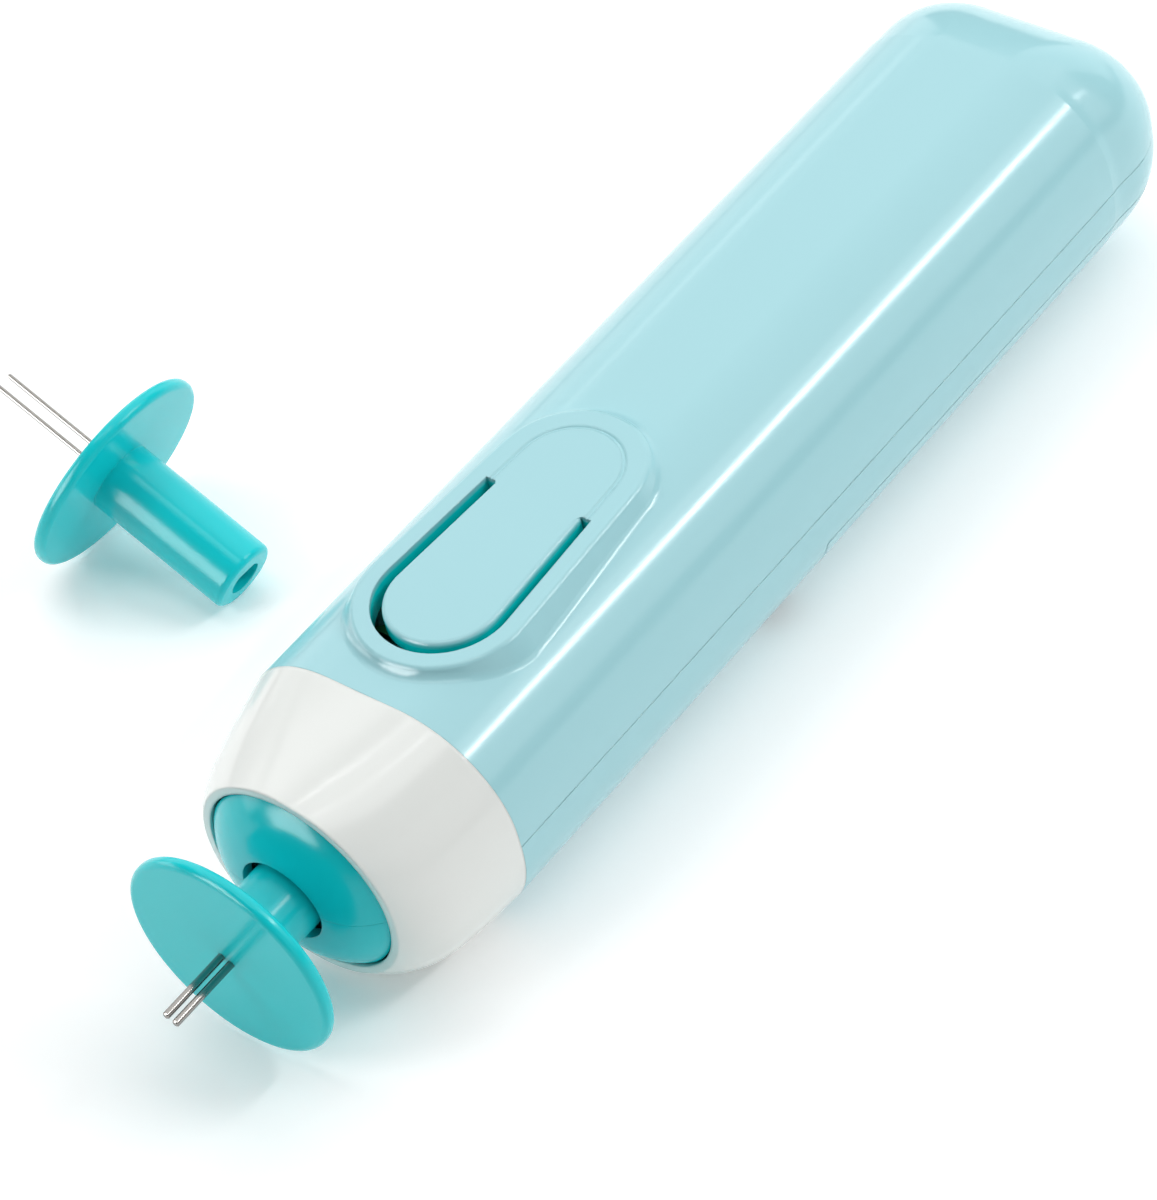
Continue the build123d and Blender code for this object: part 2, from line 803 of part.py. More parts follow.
# Gearbox: two plates, four staked pillars and the fixed layshaft
pillar_places = (
    (pillar_near, pillar_rise),
    (pillar_near, -pillar_rise),
    (-pillar_far, pillar_rise),
    (-pillar_far, -pillar_rise),
)
plate_rears = (-gearbox_front - plate_thickness, motor_front)
plate_bores = (spindle_radius + bore_clearance, motor_boss_radius + bore_clearance)
for name, rear, bore in zip(("gearbox_front_plate", "gearbox_rear_plate"), plate_rears, plate_bores):
    with BuildPart() as plate:
        with BuildSketch(station(rear)):
            RectangleRounded(plate_width, plate_height, plate_corner)
            Circle(bore, mode=Mode.SUBTRACT)
            with Locations((layshaft_y, 0)):
                Circle(stub_radius, mode=Mode.SUBTRACT)
            with Locations(*pillar_places):
                Circle(pillar_spigot_radius, mode=Mode.SUBTRACT)
        extrude(amount=plate_thickness)
    save(plate, name)

with BuildPart() as gearbox_pillars:
    for side, rise in pillar_places:
        bar(rear_plate_front, plate_rears[0], pillar_radius, side, rise)
        bar(motor_front, -gearbox_front, pillar_spigot_radius, side, rise)
save(gearbox_pillars, "gearbox_pillars")

with BuildPart() as layshaft:
    bar(motor_front, -gearbox_front, stub_radius, layshaft_y)
save(layshaft, "layshaft")

# Motor
with BuildPart() as motor_can:
    with BuildSketch(station(motor_rear)):
        Circle(motor_diameter / 2)
        Rectangle(motor_diameter, motor_flat, mode=Mode.INTERSECT)
    extrude(amount=motor_length)
    bar(motor_front, motor_front + motor_boss_length, motor_boss_radius)
    bar(
        motor_front + motor_boss_length - motor_shaft_seat - slip, motor_front + overrun,
        motor_shaft_radius + bore_clearance, mode=Mode.SUBTRACT,
    )
save(motor_can, "motor_can")

with BuildPart() as motor_end_cap:
    with BuildSketch(station(motor_rear)):
        Circle(motor_diameter / 2 - motor_cap_inset)
        Rectangle(motor_diameter, motor_flat - 2 * motor_cap_inset, mode=Mode.INTERSECT)
    extrude(amount=-motor_cap_length)
save(motor_end_cap, "motor_end_cap")

with BuildPart() as motor_terminals:
    with BuildSketch(station(motor_rear - motor_cap_length)):
        with GridLocations(2 * terminal_spread, 0, 2, 1):
            Rectangle(terminal_thickness, terminal_width)
    extrude(amount=-terminal_length)
save(motor_terminals, "motor_terminals")

# Switch under the button
with BuildPart() as switch_board:
    block(board_height, board_top, -board_rear, -board_rear + board_length, board_width / 2)
    for along in (-board_rear + post_inset, -board_rear + board_length - post_inset):
        for side in at_both_sides(post_spread):
            upright(
                along, side, board_height - overrun, board_top + overrun, board_screw_radius + bore_clearance,
                mode=Mode.SUBTRACT,
            )
save(switch_board, "switch_board")

with BuildPart() as board_screws:
    for along in (-board_rear + post_inset, -board_rear + board_length - post_inset):
        for side in at_both_sides(post_spread):
            upright(along, side, board_height - board_screw_head, board_height, board_screw_head_radius)
            upright(along, side, board_height, board_top + board_screw_reach, board_screw_radius)
save(board_screws, "board_screws")

with BuildPart() as switch_body:
    block(
        board_top, switch_top, -switch_back - switch_size / 2, -switch_back + switch_size / 2,
        switch_size / 2,
    )
    chamfer(switch_body.edges().filter_by(Axis.Z), switch_edge)
    upright(
        -switch_back, 0, plunger_top - plunger_length - plunger_rise, switch_top + overrun,
        plunger_radius + bore_clearance, mode=Mode.SUBTRACT,
    )
save(switch_body, "switch_body")

with BuildPart() as switch_plunger:
    upright(-switch_back, 0, plunger_top - plunger_length, plunger_top, plunger_radius)
save(switch_plunger, "switch_plunger")

# Cells and their contacts
cells = (
    ("battery_cell_1", cell_one_rear, cell_one_rear + cell_length, nub_length, cell_spread),
    ("battery_cell_2", cell_two_front, cell_two_front - cell_length, -nub_length, -cell_spread),
)
for name, flat_end, shoulder, nub, side in cells:
    with BuildPart() as cell:
        with BuildSketch(station(flat_end)):
            with Locations((side, 0)):
                Circle(cell_radius)
        extrude(amount=shoulder - flat_end)
        chamfer(cell.edges(), cell_edge)
        with BuildSketch(station(shoulder)):
            with Locations((side, 0)):
                Circle(nub_cap_radius)
        extrude(amount=nub)
    save(cell, name)


def contact_plate(rear, width, side=0):
    with BuildSketch(station(rear)) as face:
        with Locations((side, 0)):
            RectangleRounded(width, contact_size, contact_edge)
    extrude(face.sketch, amount=contact_thickness)


def contact_spring(start, side, direction):
    # Conical spring standing on its plate, its narrow end against the cell; the wire has light flats
    centre = (seam_x + start + direction * (spring_wire + cell_gap), side, axis_z)
    height = spring_length - 2 * spring_wire - 2 * cell_gap
    with BuildLine() as path:
        Helix(
            spring_pitch, height, spring_root_radius, center=centre, direction=(direction, 0, 0),
            cone_angle=spring_taper,
        )
    with BuildSketch(Plane(origin=path.line @ 0, z_dir=path.line % 0)) as wire:
        RegularPolygon(spring_wire, spring_flats)
    sweep(wire.sketch, path=path.line)


with BuildPart() as positive_contact:
    contact_plate(contact_front, contact_size, cell_spread)
save(positive_contact, "positive_contact")

with BuildPart() as negative_contact:
    contact_plate(contact_front, contact_size, -cell_spread)
    contact_spring(contact_front, -cell_spread, -1)
save(negative_contact, "negative_contact")

with BuildPart() as bridge_contact:
    contact_plate(bridge_front - contact_thickness, bridge_width)
    contact_spring(bridge_front, cell_spread, 1)
save(bridge_contact, "bridge_contact")

# Two screws that hold the housings together from below
with BuildPart() as housing_screws:
    for side in at_both_sides(screw_spread):
        upright(-screw_back, side, -screw_seat - screw_head_length, -screw_seat, screw_head_radius)
        upright(-screw_back, side, -screw_seat, screw_reach, screw_radius)
        for half_length, half_width in ((driver_length, driver_slot), (driver_slot, driver_length)):
            block(
                -screw_seat - screw_head_length - overrun, -screw_seat - screw_head_length + driver_depth,
                -screw_back - half_length / 2, -screw_back + half_length / 2, half_width / 2, side,
                mode=Mode.SUBTRACT,
            )
save(housing_screws, "housing_screws")


# The two heads. Each lies in a plane whose z runs out along its pins; the spare one rests on its
# rim and on the end of its shank.
spare_tilt = math.atan((disc_radius - shank_radius) / shank_length)
spare_turn = math.radians(spare_heading)
spare_face_height = (
    (disc_thickness - head_edge) * math.sin(spare_tilt)
    + (disc_radius - head_edge) * math.cos(spare_tilt)
    + head_edge
)
spare_place = Plane(
    origin=(spare_x, spare_y, spare_face_height),
    x_dir=(-math.sin(spare_turn), math.cos(spare_turn), 0),
    z_dir=(
        math.cos(spare_turn) * math.cos(spare_tilt),
        math.sin(spare_turn) * math.cos(spare_tilt),
        math.sin(spare_tilt),
    ),
)
heads = (
    ("head_disc", "head_pins", station(disc_face), pin_radius, pin_spacing, pin_length, pin_roll),
    (
        "spare_head_disc", "spare_head_pins", spare_place, needle_radius, needle_spacing, needle_length,
        needle_roll,
    ),
)
for disc_name, pins_name, place, radius, spacing, length, roll in heads:
    along_head = Axis(place.origin, place.z_dir)
    with BuildPart() as disc:
        with BuildSketch(place.offset(-disc_thickness)):
            Circle(disc_radius)
        extrude(amount=disc_thickness)
        fillet(disc.edges(), head_edge)
        with BuildSketch(place.offset(-disc_thickness - shank_length)):
            Circle(shank_radius)
        extrude(amount=shank_length)
        fillet(disc.faces().sort_by(along_head)[0].edges(), head_edge)
        with BuildSketch(place.offset(-disc_thickness - shank_length)):
            Circle(spindle_radius + bore_clearance)
            with Locations((0, spindle_flat + bore_clearance + body_width / 2)):
                Rectangle(body_width, body_width, mode=Mode.SUBTRACT)
        extrude(amount=socket_depth, mode=Mode.SUBTRACT)
        with BuildSketch(place.offset(-pin_seat)):
            with PolarLocations(spacing / 2, 2, start_angle=roll):
                Circle(radius)
        extrude(amount=pin_seat + overrun, mode=Mode.SUBTRACT)
    save(disc, disc_name)
    with BuildPart() as pins:
        with BuildSketch(place.offset(-pin_seat)):
            with PolarLocations(spacing / 2, 2, start_angle=roll):
                Circle(radius)
        extrude(amount=pin_seat + length)
        chamfer(pins.faces().sort_by(along_head)[-2:].edges(), pin_point)
    save(pins, pins_name)
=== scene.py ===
# %% [markdown]
# # An electric quilling tool, lying on its back with a spare head beside it
# The solids of this tool come from the CAD model, already in place and in metres. This lesson
# dresses them: it makes the studio, the plastics and metals, and the few pieces whose look needs
# more than the solids give. +X points at the winding head and +Z up through the button.

# %% Load the model
import bpy
import bmesh
import math
from mathutils import Matrix, Vector


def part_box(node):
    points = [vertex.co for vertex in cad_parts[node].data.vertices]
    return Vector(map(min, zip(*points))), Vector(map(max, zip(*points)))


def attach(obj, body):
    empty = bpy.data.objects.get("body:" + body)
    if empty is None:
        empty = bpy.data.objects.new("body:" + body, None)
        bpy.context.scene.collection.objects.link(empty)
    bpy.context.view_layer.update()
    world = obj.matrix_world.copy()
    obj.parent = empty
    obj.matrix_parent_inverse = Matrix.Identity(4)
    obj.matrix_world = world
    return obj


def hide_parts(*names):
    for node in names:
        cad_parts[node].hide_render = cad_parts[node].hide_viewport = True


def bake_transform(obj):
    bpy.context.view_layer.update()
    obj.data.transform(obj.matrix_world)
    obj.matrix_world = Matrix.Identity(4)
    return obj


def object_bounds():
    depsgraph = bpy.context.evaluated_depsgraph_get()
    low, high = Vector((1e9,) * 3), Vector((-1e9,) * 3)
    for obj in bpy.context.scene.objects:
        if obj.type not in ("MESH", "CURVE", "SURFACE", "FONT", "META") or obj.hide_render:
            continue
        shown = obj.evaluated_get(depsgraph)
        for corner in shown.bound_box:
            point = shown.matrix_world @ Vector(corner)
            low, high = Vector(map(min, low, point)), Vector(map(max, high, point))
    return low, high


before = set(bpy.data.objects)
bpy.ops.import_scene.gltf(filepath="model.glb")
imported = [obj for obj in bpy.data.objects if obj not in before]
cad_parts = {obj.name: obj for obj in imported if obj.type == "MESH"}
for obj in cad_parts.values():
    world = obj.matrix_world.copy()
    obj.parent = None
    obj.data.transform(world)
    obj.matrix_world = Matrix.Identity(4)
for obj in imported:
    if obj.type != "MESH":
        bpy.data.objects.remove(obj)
cad_low, cad_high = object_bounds()
MM = 0.001
box_in_mm = [round(value / MM, 1) for value in (*cad_low, *cad_high)]
print("nodes:", len(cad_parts), "box in mm:", box_in_mm)

# %% [markdown]
# Every place on this tool is measured from two lines: the seam where the blue body meets the white
# collar, and the spindle's axis. Both are read from the CAD nodes, so nothing drifts from them.

# %% Seam and spindle line
seam_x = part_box("front_bush")[0].x
axis_z = (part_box("head_disc")[0].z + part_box("head_disc")[1].z) / 2


def place(along, side, rise):
    """A point from its millimetres along, beside and above the seam on the spindle line."""
    return Vector((seam_x + along * MM, side * MM, axis_z + rise * MM))


print("seam at", round(seam_x / MM, 2), "mm, spindle line", round(axis_z / MM, 2), "mm up")

# %% [markdown]
# The camera stands in front of the nose, to the left of the tool and high above it, with a long
# lens. Its place is in millimetres from the seam, and its turn is given by three directions. A
# camera looks along its own -Z with +Y up, so the matrix takes the right-hand direction, minus the
# downward one, and minus the viewing one.

# %% Camera
FOCAL_PIXELS = 4983.67
FRAME_SIDE = 1200
SENSOR = 36.0
CAMERA_RIGHT = Vector((-0.59784, 0.78312, -0.17122))
CAMERA_DOWN = Vector((0.64247, 0.34036, -0.68658))
CAMERA_FORWARD = Vector((-0.4794, -0.52046, -0.70661))
CAMERA_PLACE = (215.72, 267.92, 361.7)

camera_data = bpy.data.cameras.new("studio_camera")
camera = bpy.data.objects.new("studio_camera", camera_data)
bpy.context.scene.collection.objects.link(camera)
camera_data.sensor_width = SENSOR
camera_data.lens = SENSOR * FOCAL_PIXELS / FRAME_SIDE
camera_data.clip_start = 0.01
camera_data.clip_end = 10.0
camera_turn = Matrix((CAMERA_RIGHT, -CAMERA_DOWN, -CAMERA_FORWARD)).transposed().to_4x4()
camera.matrix_world = Matrix.Translation(place(*CAMERA_PLACE)) @ camera_turn
bpy.context.scene.camera = camera
print("lens", round(camera_data.lens, 1), "mm")


# %% [markdown]
# Materials are made of nodes. Three small helpers keep the cells short: one starts a material, one
# makes a node, and one joins two sockets.

# %% Node helpers
def add_node(tree, kind, inputs=None, **settings):
    made = tree.nodes.new(kind)
    for key, value in settings.items():
        setattr(made, key, value)
    for key, value in (inputs or {}).items():
        made.inputs[key].default_value = value
    return made


def join(tree, source, target):
    tree.links.new(source, target)


def start_material(name, **surface):
    material = bpy.data.materials.new(name)
    material.use_nodes = True
    tree = material.node_tree
    tree.nodes.clear()
    inputs = {label.replace("_", " "): value for label, value in surface.items()}
    shader = add_node(tree, "ShaderNodeBsdfPrincipled", inputs)
    output = add_node(tree, "ShaderNodeOutputMaterial")
    join(tree, shader.outputs["BSDF"], output.inputs["Surface"])
    return material, tree, shader


# %% [markdown]
# The set is a sheet of white acrylic lit faintly from below, as on a product photographer's light
# table, under a white sky. The glow keeps the ground white while the tool itself stays softly lit.
# The sheet lies a hair below the tool, so that the two faces never share a plane.

# %% Light table
TABLE_HALF = 3.0
TABLE_TOP = -0.02 * MM
TABLE_GLOW = 0.13
SKY_STRENGTH = 0.1

table_mesh = bpy.data.meshes.new("light_table")
signs = ((-1, -1), (1, -1), (1, 1), (-1, 1))
corners = [(x * TABLE_HALF, y * TABLE_HALF, TABLE_TOP) for x, y in signs]
table_mesh.from_pydata(corners, [], [(0, 1, 2, 3)])
table = bpy.data.objects.new("light_table", table_mesh)
bpy.context.scene.collection.objects.link(table)
acrylic = start_material(
    "white_acrylic", Base_Color=(0.97, 0.97, 0.97, 1), Roughness=0.9,
    Emission_Color=(1, 1, 1, 1), Emission_Strength=TABLE_GLOW,
)[0]
table.data.materials.append(acrylic)

world = bpy.data.worlds.new("studio_sky")
bpy.context.scene.world = world
world.use_nodes = True
sky = world.node_tree.nodes["Background"]
sky.inputs["Color"].default_value = (1, 1, 1, 1)
sky.inputs["Strength"].default_value = SKY_STRENGTH
bpy.context.scene.view_settings.view_transform = "Standard"

# %% [markdown]
# Softboxes make the light. The key is a long one, hung where the flat top of the tool and the start
# of its rounded edge mirror it towards the camera, which lays an even sheen over the top. A card on
# the left carries the sheen over the far edge, and one behind does so over the tail. The front card
# lifts the disc's face, and a band low in front is seen in reflections only: it draws the pale
# upper part of the nose insert, the light on the disc's rim and the bright stripes of the pins. A
# slim strip and a dimmer, wider one stand where the rounded edge mirrors them, and draw the bright
# streak and the pale band beside it. The flank card lifts the side just below the streak. The
# overhead band lights the collar, the crest of the button's pad and the spare head's shank, and its
# place keeps it out of the body's own mirror. A broad dim box opens the shadows in front, a card on
# the far side does so behind, and two small lamps leave specks of light on the collar.
# Each is named with its direction from the tool, its distance and size in metres, and its radiance.


# %% Softboxes
BODY_MIDDLE = -45


def softbox(name, direction, distance, width, height, radiance):
    data = bpy.data.lights.new(name, "AREA")
    data.shape = "RECTANGLE"
    data.size, data.size_y = width, height
    data.energy = radiance * math.pi * width * height
    lamp = bpy.data.objects.new(name, data)
    bpy.context.scene.collection.objects.link(lamp)
    target = place(BODY_MIDDLE, 0, 0)
    aim = Vector(direction).normalized()
    across = Vector((1, 0, 0)) - aim * aim.x
    across.normalize()
    turned = Matrix((across, aim.cross(across), aim)).transposed().to_4x4()
    lamp.matrix_world = Matrix.Translation(target + aim * distance) @ turned
    print(name, round(data.energy, 1), "W")
    return lamp


softbox("key_softbox", (-0.54, -0.105, 0.85), 1.3, 0.84, 2.4, 1.45)
softbox("left_card", (-0.48, -0.83, 0.29), 1.2, 0.8, 0.6, 1.2)
softbox("tail_card", (-0.93, -0.1, 0.35), 1.3, 0.9, 0.9, 1.2)
softbox("front_card", (0.6, -0.37, 0.66), 1.0, 0.4, 0.35, 4.5)
softbox("streak_strip", (-0.48, 0.594, 0.649), 1.2, 0.5, 0.05, 38.0)
softbox("streak_band", (-0.48, 0.49, 0.73), 1.2, 0.6, 0.22, 1.4)
softbox("overhead_band", (0.02, -0.12, 1.0), 1.0, 0.3, 1.25, 2.1)
softbox("flank_card", (-0.5, 0.735, 0.459), 1.2, 0.6, 0.66, 1.3)
softbox("fill_softbox", (0.3, 0.9, 0.32), 1.4, 1.2, 0.8, 0.5)
softbox("side_card", (0.31, -0.93, 0.22), 0.9, 0.7, 0.3, 3.0)
nose_band = softbox("nose_band", (0.88, -0.3, 0.38), 1.0, 0.6, 0.6, 9.0)
nose_band.visible_diffuse = False
softbox("glint_one", (-0.136, -0.246, 0.96), 0.9, 0.03, 0.02, 26.0)
softbox("glint_two", (-0.035, 0.085, 0.995), 0.9, 0.02, 0.03, 26.0)


# %% [markdown]
# Moulded plastic is never a perfect mirror. Its skin waves a little where it shrank in the mould
# and carries a very fine texture, and hands leave parts of it a touch duller. Both effects serve
# all the plastics here, so each is a node group, built once.

# %% Node group: moulded skin
def start_group(name, inputs, outputs):
    group = bpy.data.node_groups.new(name, "ShaderNodeTree")
    for label, kind, value in inputs:
        socket = group.interface.new_socket(label, in_out="INPUT", socket_type=kind)
        socket.default_value = value
    for label, kind in outputs:
        group.interface.new_socket(label, in_out="OUTPUT", socket_type=kind)
    return group, add_node(group, "NodeGroupInput"), add_node(group, "NodeGroupOutput")


FLOAT = "NodeSocketFloat"
skin, skin_in, skin_out = start_group(
    "moulded_skin",
    [
        ("Wave Size", FLOAT, 60.0), ("Wave Height", FLOAT, 0.6),
        ("Grain Size", FLOAT, 2500.0), ("Grain Height", FLOAT, 0.05),
    ],
    [("Height", FLOAT)],
)
where = add_node(skin, "ShaderNodeTexCoord")
wave = add_node(skin, "ShaderNodeTexNoise", {"Detail": 1.0, "Roughness": 0.4})
grain = add_node(skin, "ShaderNodeTexNoise", {"Detail": 2.0, "Roughness": 0.6})
wave_part = add_node(skin, "ShaderNodeMath", operation="MULTIPLY")
grain_part = add_node(skin, "ShaderNodeMath", operation="MULTIPLY_ADD")
for texture, size in ((wave, "Wave Size"), (grain, "Grain Size")):
    join(skin, where.outputs["Object"], texture.inputs["Vector"])
    join(skin, skin_in.outputs[size], texture.inputs["Scale"])
join(skin, wave.outputs["Fac"], wave_part.inputs[0])
join(skin, skin_in.outputs["Wave Height"], wave_part.inputs[1])
join(skin, grain.outputs["Fac"], grain_part.inputs[0])
join(skin, skin_in.outputs["Grain Height"], grain_part.inputs[1])
join(skin, wave_part.outputs["Value"], grain_part.inputs[2])
join(skin, grain_part.outputs["Value"], skin_out.inputs["Height"])

# %% Node group: handling, the uneven dullness that hands leave
handling, handling_in, handling_out = start_group(
    "handling",
    [("Smudge Size", FLOAT, 45.0), ("Shine", FLOAT, 0.2), ("Dullness", FLOAT, 0.3)],
    [("Roughness", FLOAT)],
)
where = add_node(handling, "ShaderNodeTexCoord")
smudge = add_node(
    handling, "ShaderNodeTexNoise", {"Detail": 4.0, "Roughness": 0.65, "Distortion": 0.6}
)
spread = add_node(handling, "ShaderNodeMapRange", {"From Min": 0.35, "From Max": 0.7})
join(handling, where.outputs["Object"], smudge.inputs["Vector"])
join(handling, handling_in.outputs["Smudge Size"], smudge.inputs["Scale"])
join(handling, smudge.outputs["Fac"], spread.inputs["Value"])
join(handling, handling_in.outputs["Shine"], spread.inputs["To Min"])
join(handling, handling_in.outputs["Dullness"], spread.inputs["To Max"])
join(handling, spread.outputs["Result"], handling_out.inputs["Roughness"])

# %% Node group: pigment, the slight unevenness of coloured resin
COLOUR = "NodeSocketColor"
pigment, pigment_in, pigment_out = start_group(
    "pigment",
    [
        ("Colour", COLOUR, (1, 1, 1, 1)), ("Thin Colour", COLOUR, (1, 1, 1, 1)),
        ("Flow Size", FLOAT, 25.0),
    ],
    [("Colour", COLOUR)],
)
where = add_node(pigment, "ShaderNodeTexCoord")
flow = add_node(pigment, "ShaderNodeTexNoise", {"Detail": 3.0, "Roughness": 0.5, "Distortion": 1.2})
blend = add_node(pigment, "ShaderNodeMix", data_type="RGBA")
join(pigment, where.outputs["Object"], flow.inputs["Vector"])
join(pigment, pigment_in.outputs["Flow Size"], flow.inputs["Scale"])
join(pigment, flow.outputs["Fac"], blend.inputs["Factor"])
join(pigment, pigment_in.outputs["Colour"], blend.inputs["A"])
join(pigment, pigment_in.outputs["Thin Colour"], blend.inputs["B"])
join(pigment, blend.outputs["Result"], pigment_out.inputs["Colour"])

# %% [markdown]
# Light that enters the narrow cut round the button bounces between two coloured walls and comes out
# deeper in colour. The path tracer follows some of this, and the group below paints the rest in as
# shade: a darker, deeper teal mixed into the colour inside the cut. It finds how near a point is to
# the cut's line, which is a belt round two circles, and how far below the pad's top. Below the foot
# of the cut it stops, so the rest of the body keeps its colour.

# %% Node group: painted shade in the button's cut
PAD_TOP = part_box("button_flap")[1].z
FRONT_AT, REAR_AT = -13.6, -34.0
FRONT_RADIUS, REAR_RADIUS = 7.03, 5.88
BELT_EDGE, BELT_CORE = 0.9 * MM, 0.62 * MM
# the painted shade starts just below the pad's top and is full 0.8 mm down
SHADE_START, SHADE_FULL = PAD_TOP - 0.1 * MM, PAD_TOP - 0.8 * MM
CUT_END, CUT_FOOT = PAD_TOP - 4.0 * MM, PAD_TOP - 3.0 * MM

depth, depth_in, depth_out = start_group(
    "slit_painted_shade",
    [("Colour", COLOUR, (1, 1, 1, 1)), ("Painted Shade Colour", COLOUR, (0, 0, 0, 1))],
    [("Colour", COLOUR)],
)
where = add_node(depth, "ShaderNodeTexCoord")
parts = add_node(depth, "ShaderNodeSeparateXYZ")
run = {"From Min": place(REAR_AT, 0, 0).x, "From Max": place(FRONT_AT, 0, 0).x}
same_run = {"To Min": run["From Min"], "To Max": run["From Max"]}
radii = {"To Min": REAR_RADIUS * MM, "To Max": FRONT_RADIUS * MM}
nearest = add_node(depth, "ShaderNodeMapRange", {**run, **same_run})
radius = add_node(depth, "ShaderNodeMapRange", {**run, **radii})
on_axis = add_node(depth, "ShaderNodeCombineXYZ")
in_plan = add_node(depth, "ShaderNodeCombineXYZ")
apart = add_node(depth, "ShaderNodeVectorMath", operation="DISTANCE")
off_line = add_node(depth, "ShaderNodeMath", operation="SUBTRACT")
to_line = add_node(depth, "ShaderNodeMath", operation="ABSOLUTE")
near = add_node(depth, "ShaderNodeMapRange", {"From Min": BELT_EDGE, "From Max": BELT_CORE})
deep = add_node(depth, "ShaderNodeMapRange", {"From Min": SHADE_START, "From Max": SHADE_FULL})
in_cut = add_node(depth, "ShaderNodeMapRange", {"From Min": CUT_END, "From Max": CUT_FOOT})
both = add_node(depth, "ShaderNodeMath", operation="MULTIPLY")
share = add_node(depth, "ShaderNodeMath", operation="MULTIPLY")
# painted shade: mixes the colour towards the dark teal where the point lies in the cut
paint_shade = add_node(depth, "ShaderNodeMix", data_type="RGBA")
join(depth, where.outputs["Object"], parts.inputs["Vector"])
for target in (nearest.inputs["Value"], radius.inputs["Value"], in_plan.inputs["X"]):
    join(depth, parts.outputs["X"], target)
join(depth, parts.outputs["Y"], in_plan.inputs["Y"])
join(depth, nearest.outputs["Result"], on_axis.inputs["X"])
join(depth, in_plan.outputs["Vector"], apart.inputs[0])
join(depth, on_axis.outputs["Vector"], apart.inputs[1])
join(depth, apart.outputs["Value"], off_line.inputs[0])
join(depth, radius.outputs["Result"], off_line.inputs[1])
join(depth, off_line.outputs["Value"], to_line.inputs[0])
join(depth, to_line.outputs["Value"], near.inputs["Value"])
join(depth, parts.outputs["Z"], deep.inputs["Value"])
join(depth, near.outputs["Result"], both.inputs[0])
join(depth, deep.outputs["Result"], both.inputs[1])
join(depth, parts.outputs["Z"], in_cut.inputs["Value"])
join(depth, both.outputs["Value"], share.inputs[0])
join(depth, in_cut.outputs["Result"], share.inputs[1])
join(depth, share.outputs["Value"], paint_shade.inputs["Factor"])
join(depth, depth_in.outputs["Colour"], paint_shade.inputs["A"])
join(depth, depth_in.outputs["Painted Shade Colour"], paint_shade.inputs["B"])
join(depth, paint_shade.outputs["Result"], depth_out.inputs["Colour"])
print("node groups:", [group.name for group in bpy.data.node_groups])


# %% [markdown]
# A moulded plastic is then one recipe: its pigment, its skin as a bump, its handling as roughness,
# and a Bevel node, which rounds every edge of the solid a little for the light without changing it.
# The aqua serves twice: for the solids, and with no rounding for the two thin pieces made below.

# %% Plastics
def use_group(tree, group, values, wanted, target):
    made = add_node(tree, "ShaderNodeGroup", node_tree=group)
    for key, value in values.items():
        made.inputs[key].default_value = value
    join(tree, made.outputs[wanted], target)
    return made


def plastic(name, colour, thin, shine, dull, edge, painted_shade_colour=None, **surface):
    material, tree, shader = start_material(name, **surface)
    target = shader.inputs["Base Color"]
    # painted shade: inside the button's cut the colour is mixed towards a darker, deeper teal
    if painted_shade_colour:
        painted_shade_group = use_group(tree, depth, {"Painted Shade Colour": (*painted_shade_colour, 1)}, "Colour", target)
        target = painted_shade_group.inputs["Colour"]
    use_group(tree, pigment, {"Colour": (*colour, 1), "Thin Colour": (*thin, 1)}, "Colour", target)
    wear = {"Shine": shine, "Dullness": dull}
    use_group(tree, handling, wear, "Roughness", shader.inputs["Roughness"])
    bump = add_node(tree, "ShaderNodeBump", {"Strength": 0.25, "Distance": 0.0002})
    use_group(tree, skin, {}, "Height", bump.inputs["Height"])
    rounding = add_node(tree, "ShaderNodeBevel", {"Radius": edge * MM}, samples=4)
    join(tree, rounding.outputs["Normal"], bump.inputs["Normal"])
    join(tree, bump.outputs["Normal"], shader.inputs["Normal"])
    return material


AQUA_RECIPE = ((0.345, 0.635, 0.685), (0.36, 0.65, 0.70), 0.14, 0.19)
# a painted shade colour for the inside of the button's cut, not a colour of the plastic
AQUA_PAINTED_CUT_SHADE = (0.0, 0.72, 0.73)
aqua = plastic("aqua_abs", *AQUA_RECIPE, 0.2, AQUA_PAINTED_CUT_SHADE)
white = plastic("white_abs", (0.80, 0.83, 0.80), (0.82, 0.84, 0.82), 0.13, 0.19, 0.45)
teal = plastic(
    "teal_plastic", (0.002, 0.56, 0.60), (0.006, 0.61, 0.65), 0.17, 0.24, 0.2,
    Specular_IOR_Level=0.32,
)
natural = plastic("natural_acetal", (0.78, 0.77, 0.70), (0.82, 0.81, 0.75), 0.35, 0.45, 0.05)
black = plastic("black_nylon", (0.02, 0.02, 0.022), (0.03, 0.03, 0.032), 0.4, 0.55, 0.1)
jacket = plastic("cell_sleeve", (0.03, 0.03, 0.035), (0.05, 0.05, 0.055), 0.25, 0.35, 0.1)
mask = plastic("board_mask", (0.01, 0.16, 0.05), (0.02, 0.2, 0.07), 0.25, 0.35, 0.05)


# %% [markdown]
# The metals share one group too: fine drawn or ground lines along the tool's length, as a bump.

# %% Metals
lines, lines_in, lines_out = start_group(
    "drawn_lines", [("Line Size", FLOAT, 4000.0)], [("Height", FLOAT)]
)
where = add_node(lines, "ShaderNodeTexCoord")
stretch = add_node(lines, "ShaderNodeMapping", {"Scale": (0.02, 1.0, 1.0)})
scratch = add_node(lines, "ShaderNodeTexNoise", {"Detail": 2.0})
join(lines, where.outputs["Object"], stretch.inputs["Vector"])
join(lines, stretch.outputs["Vector"], scratch.inputs["Vector"])
join(lines, lines_in.outputs["Line Size"], scratch.inputs["Scale"])
join(lines, scratch.outputs["Fac"], lines_out.inputs["Height"])


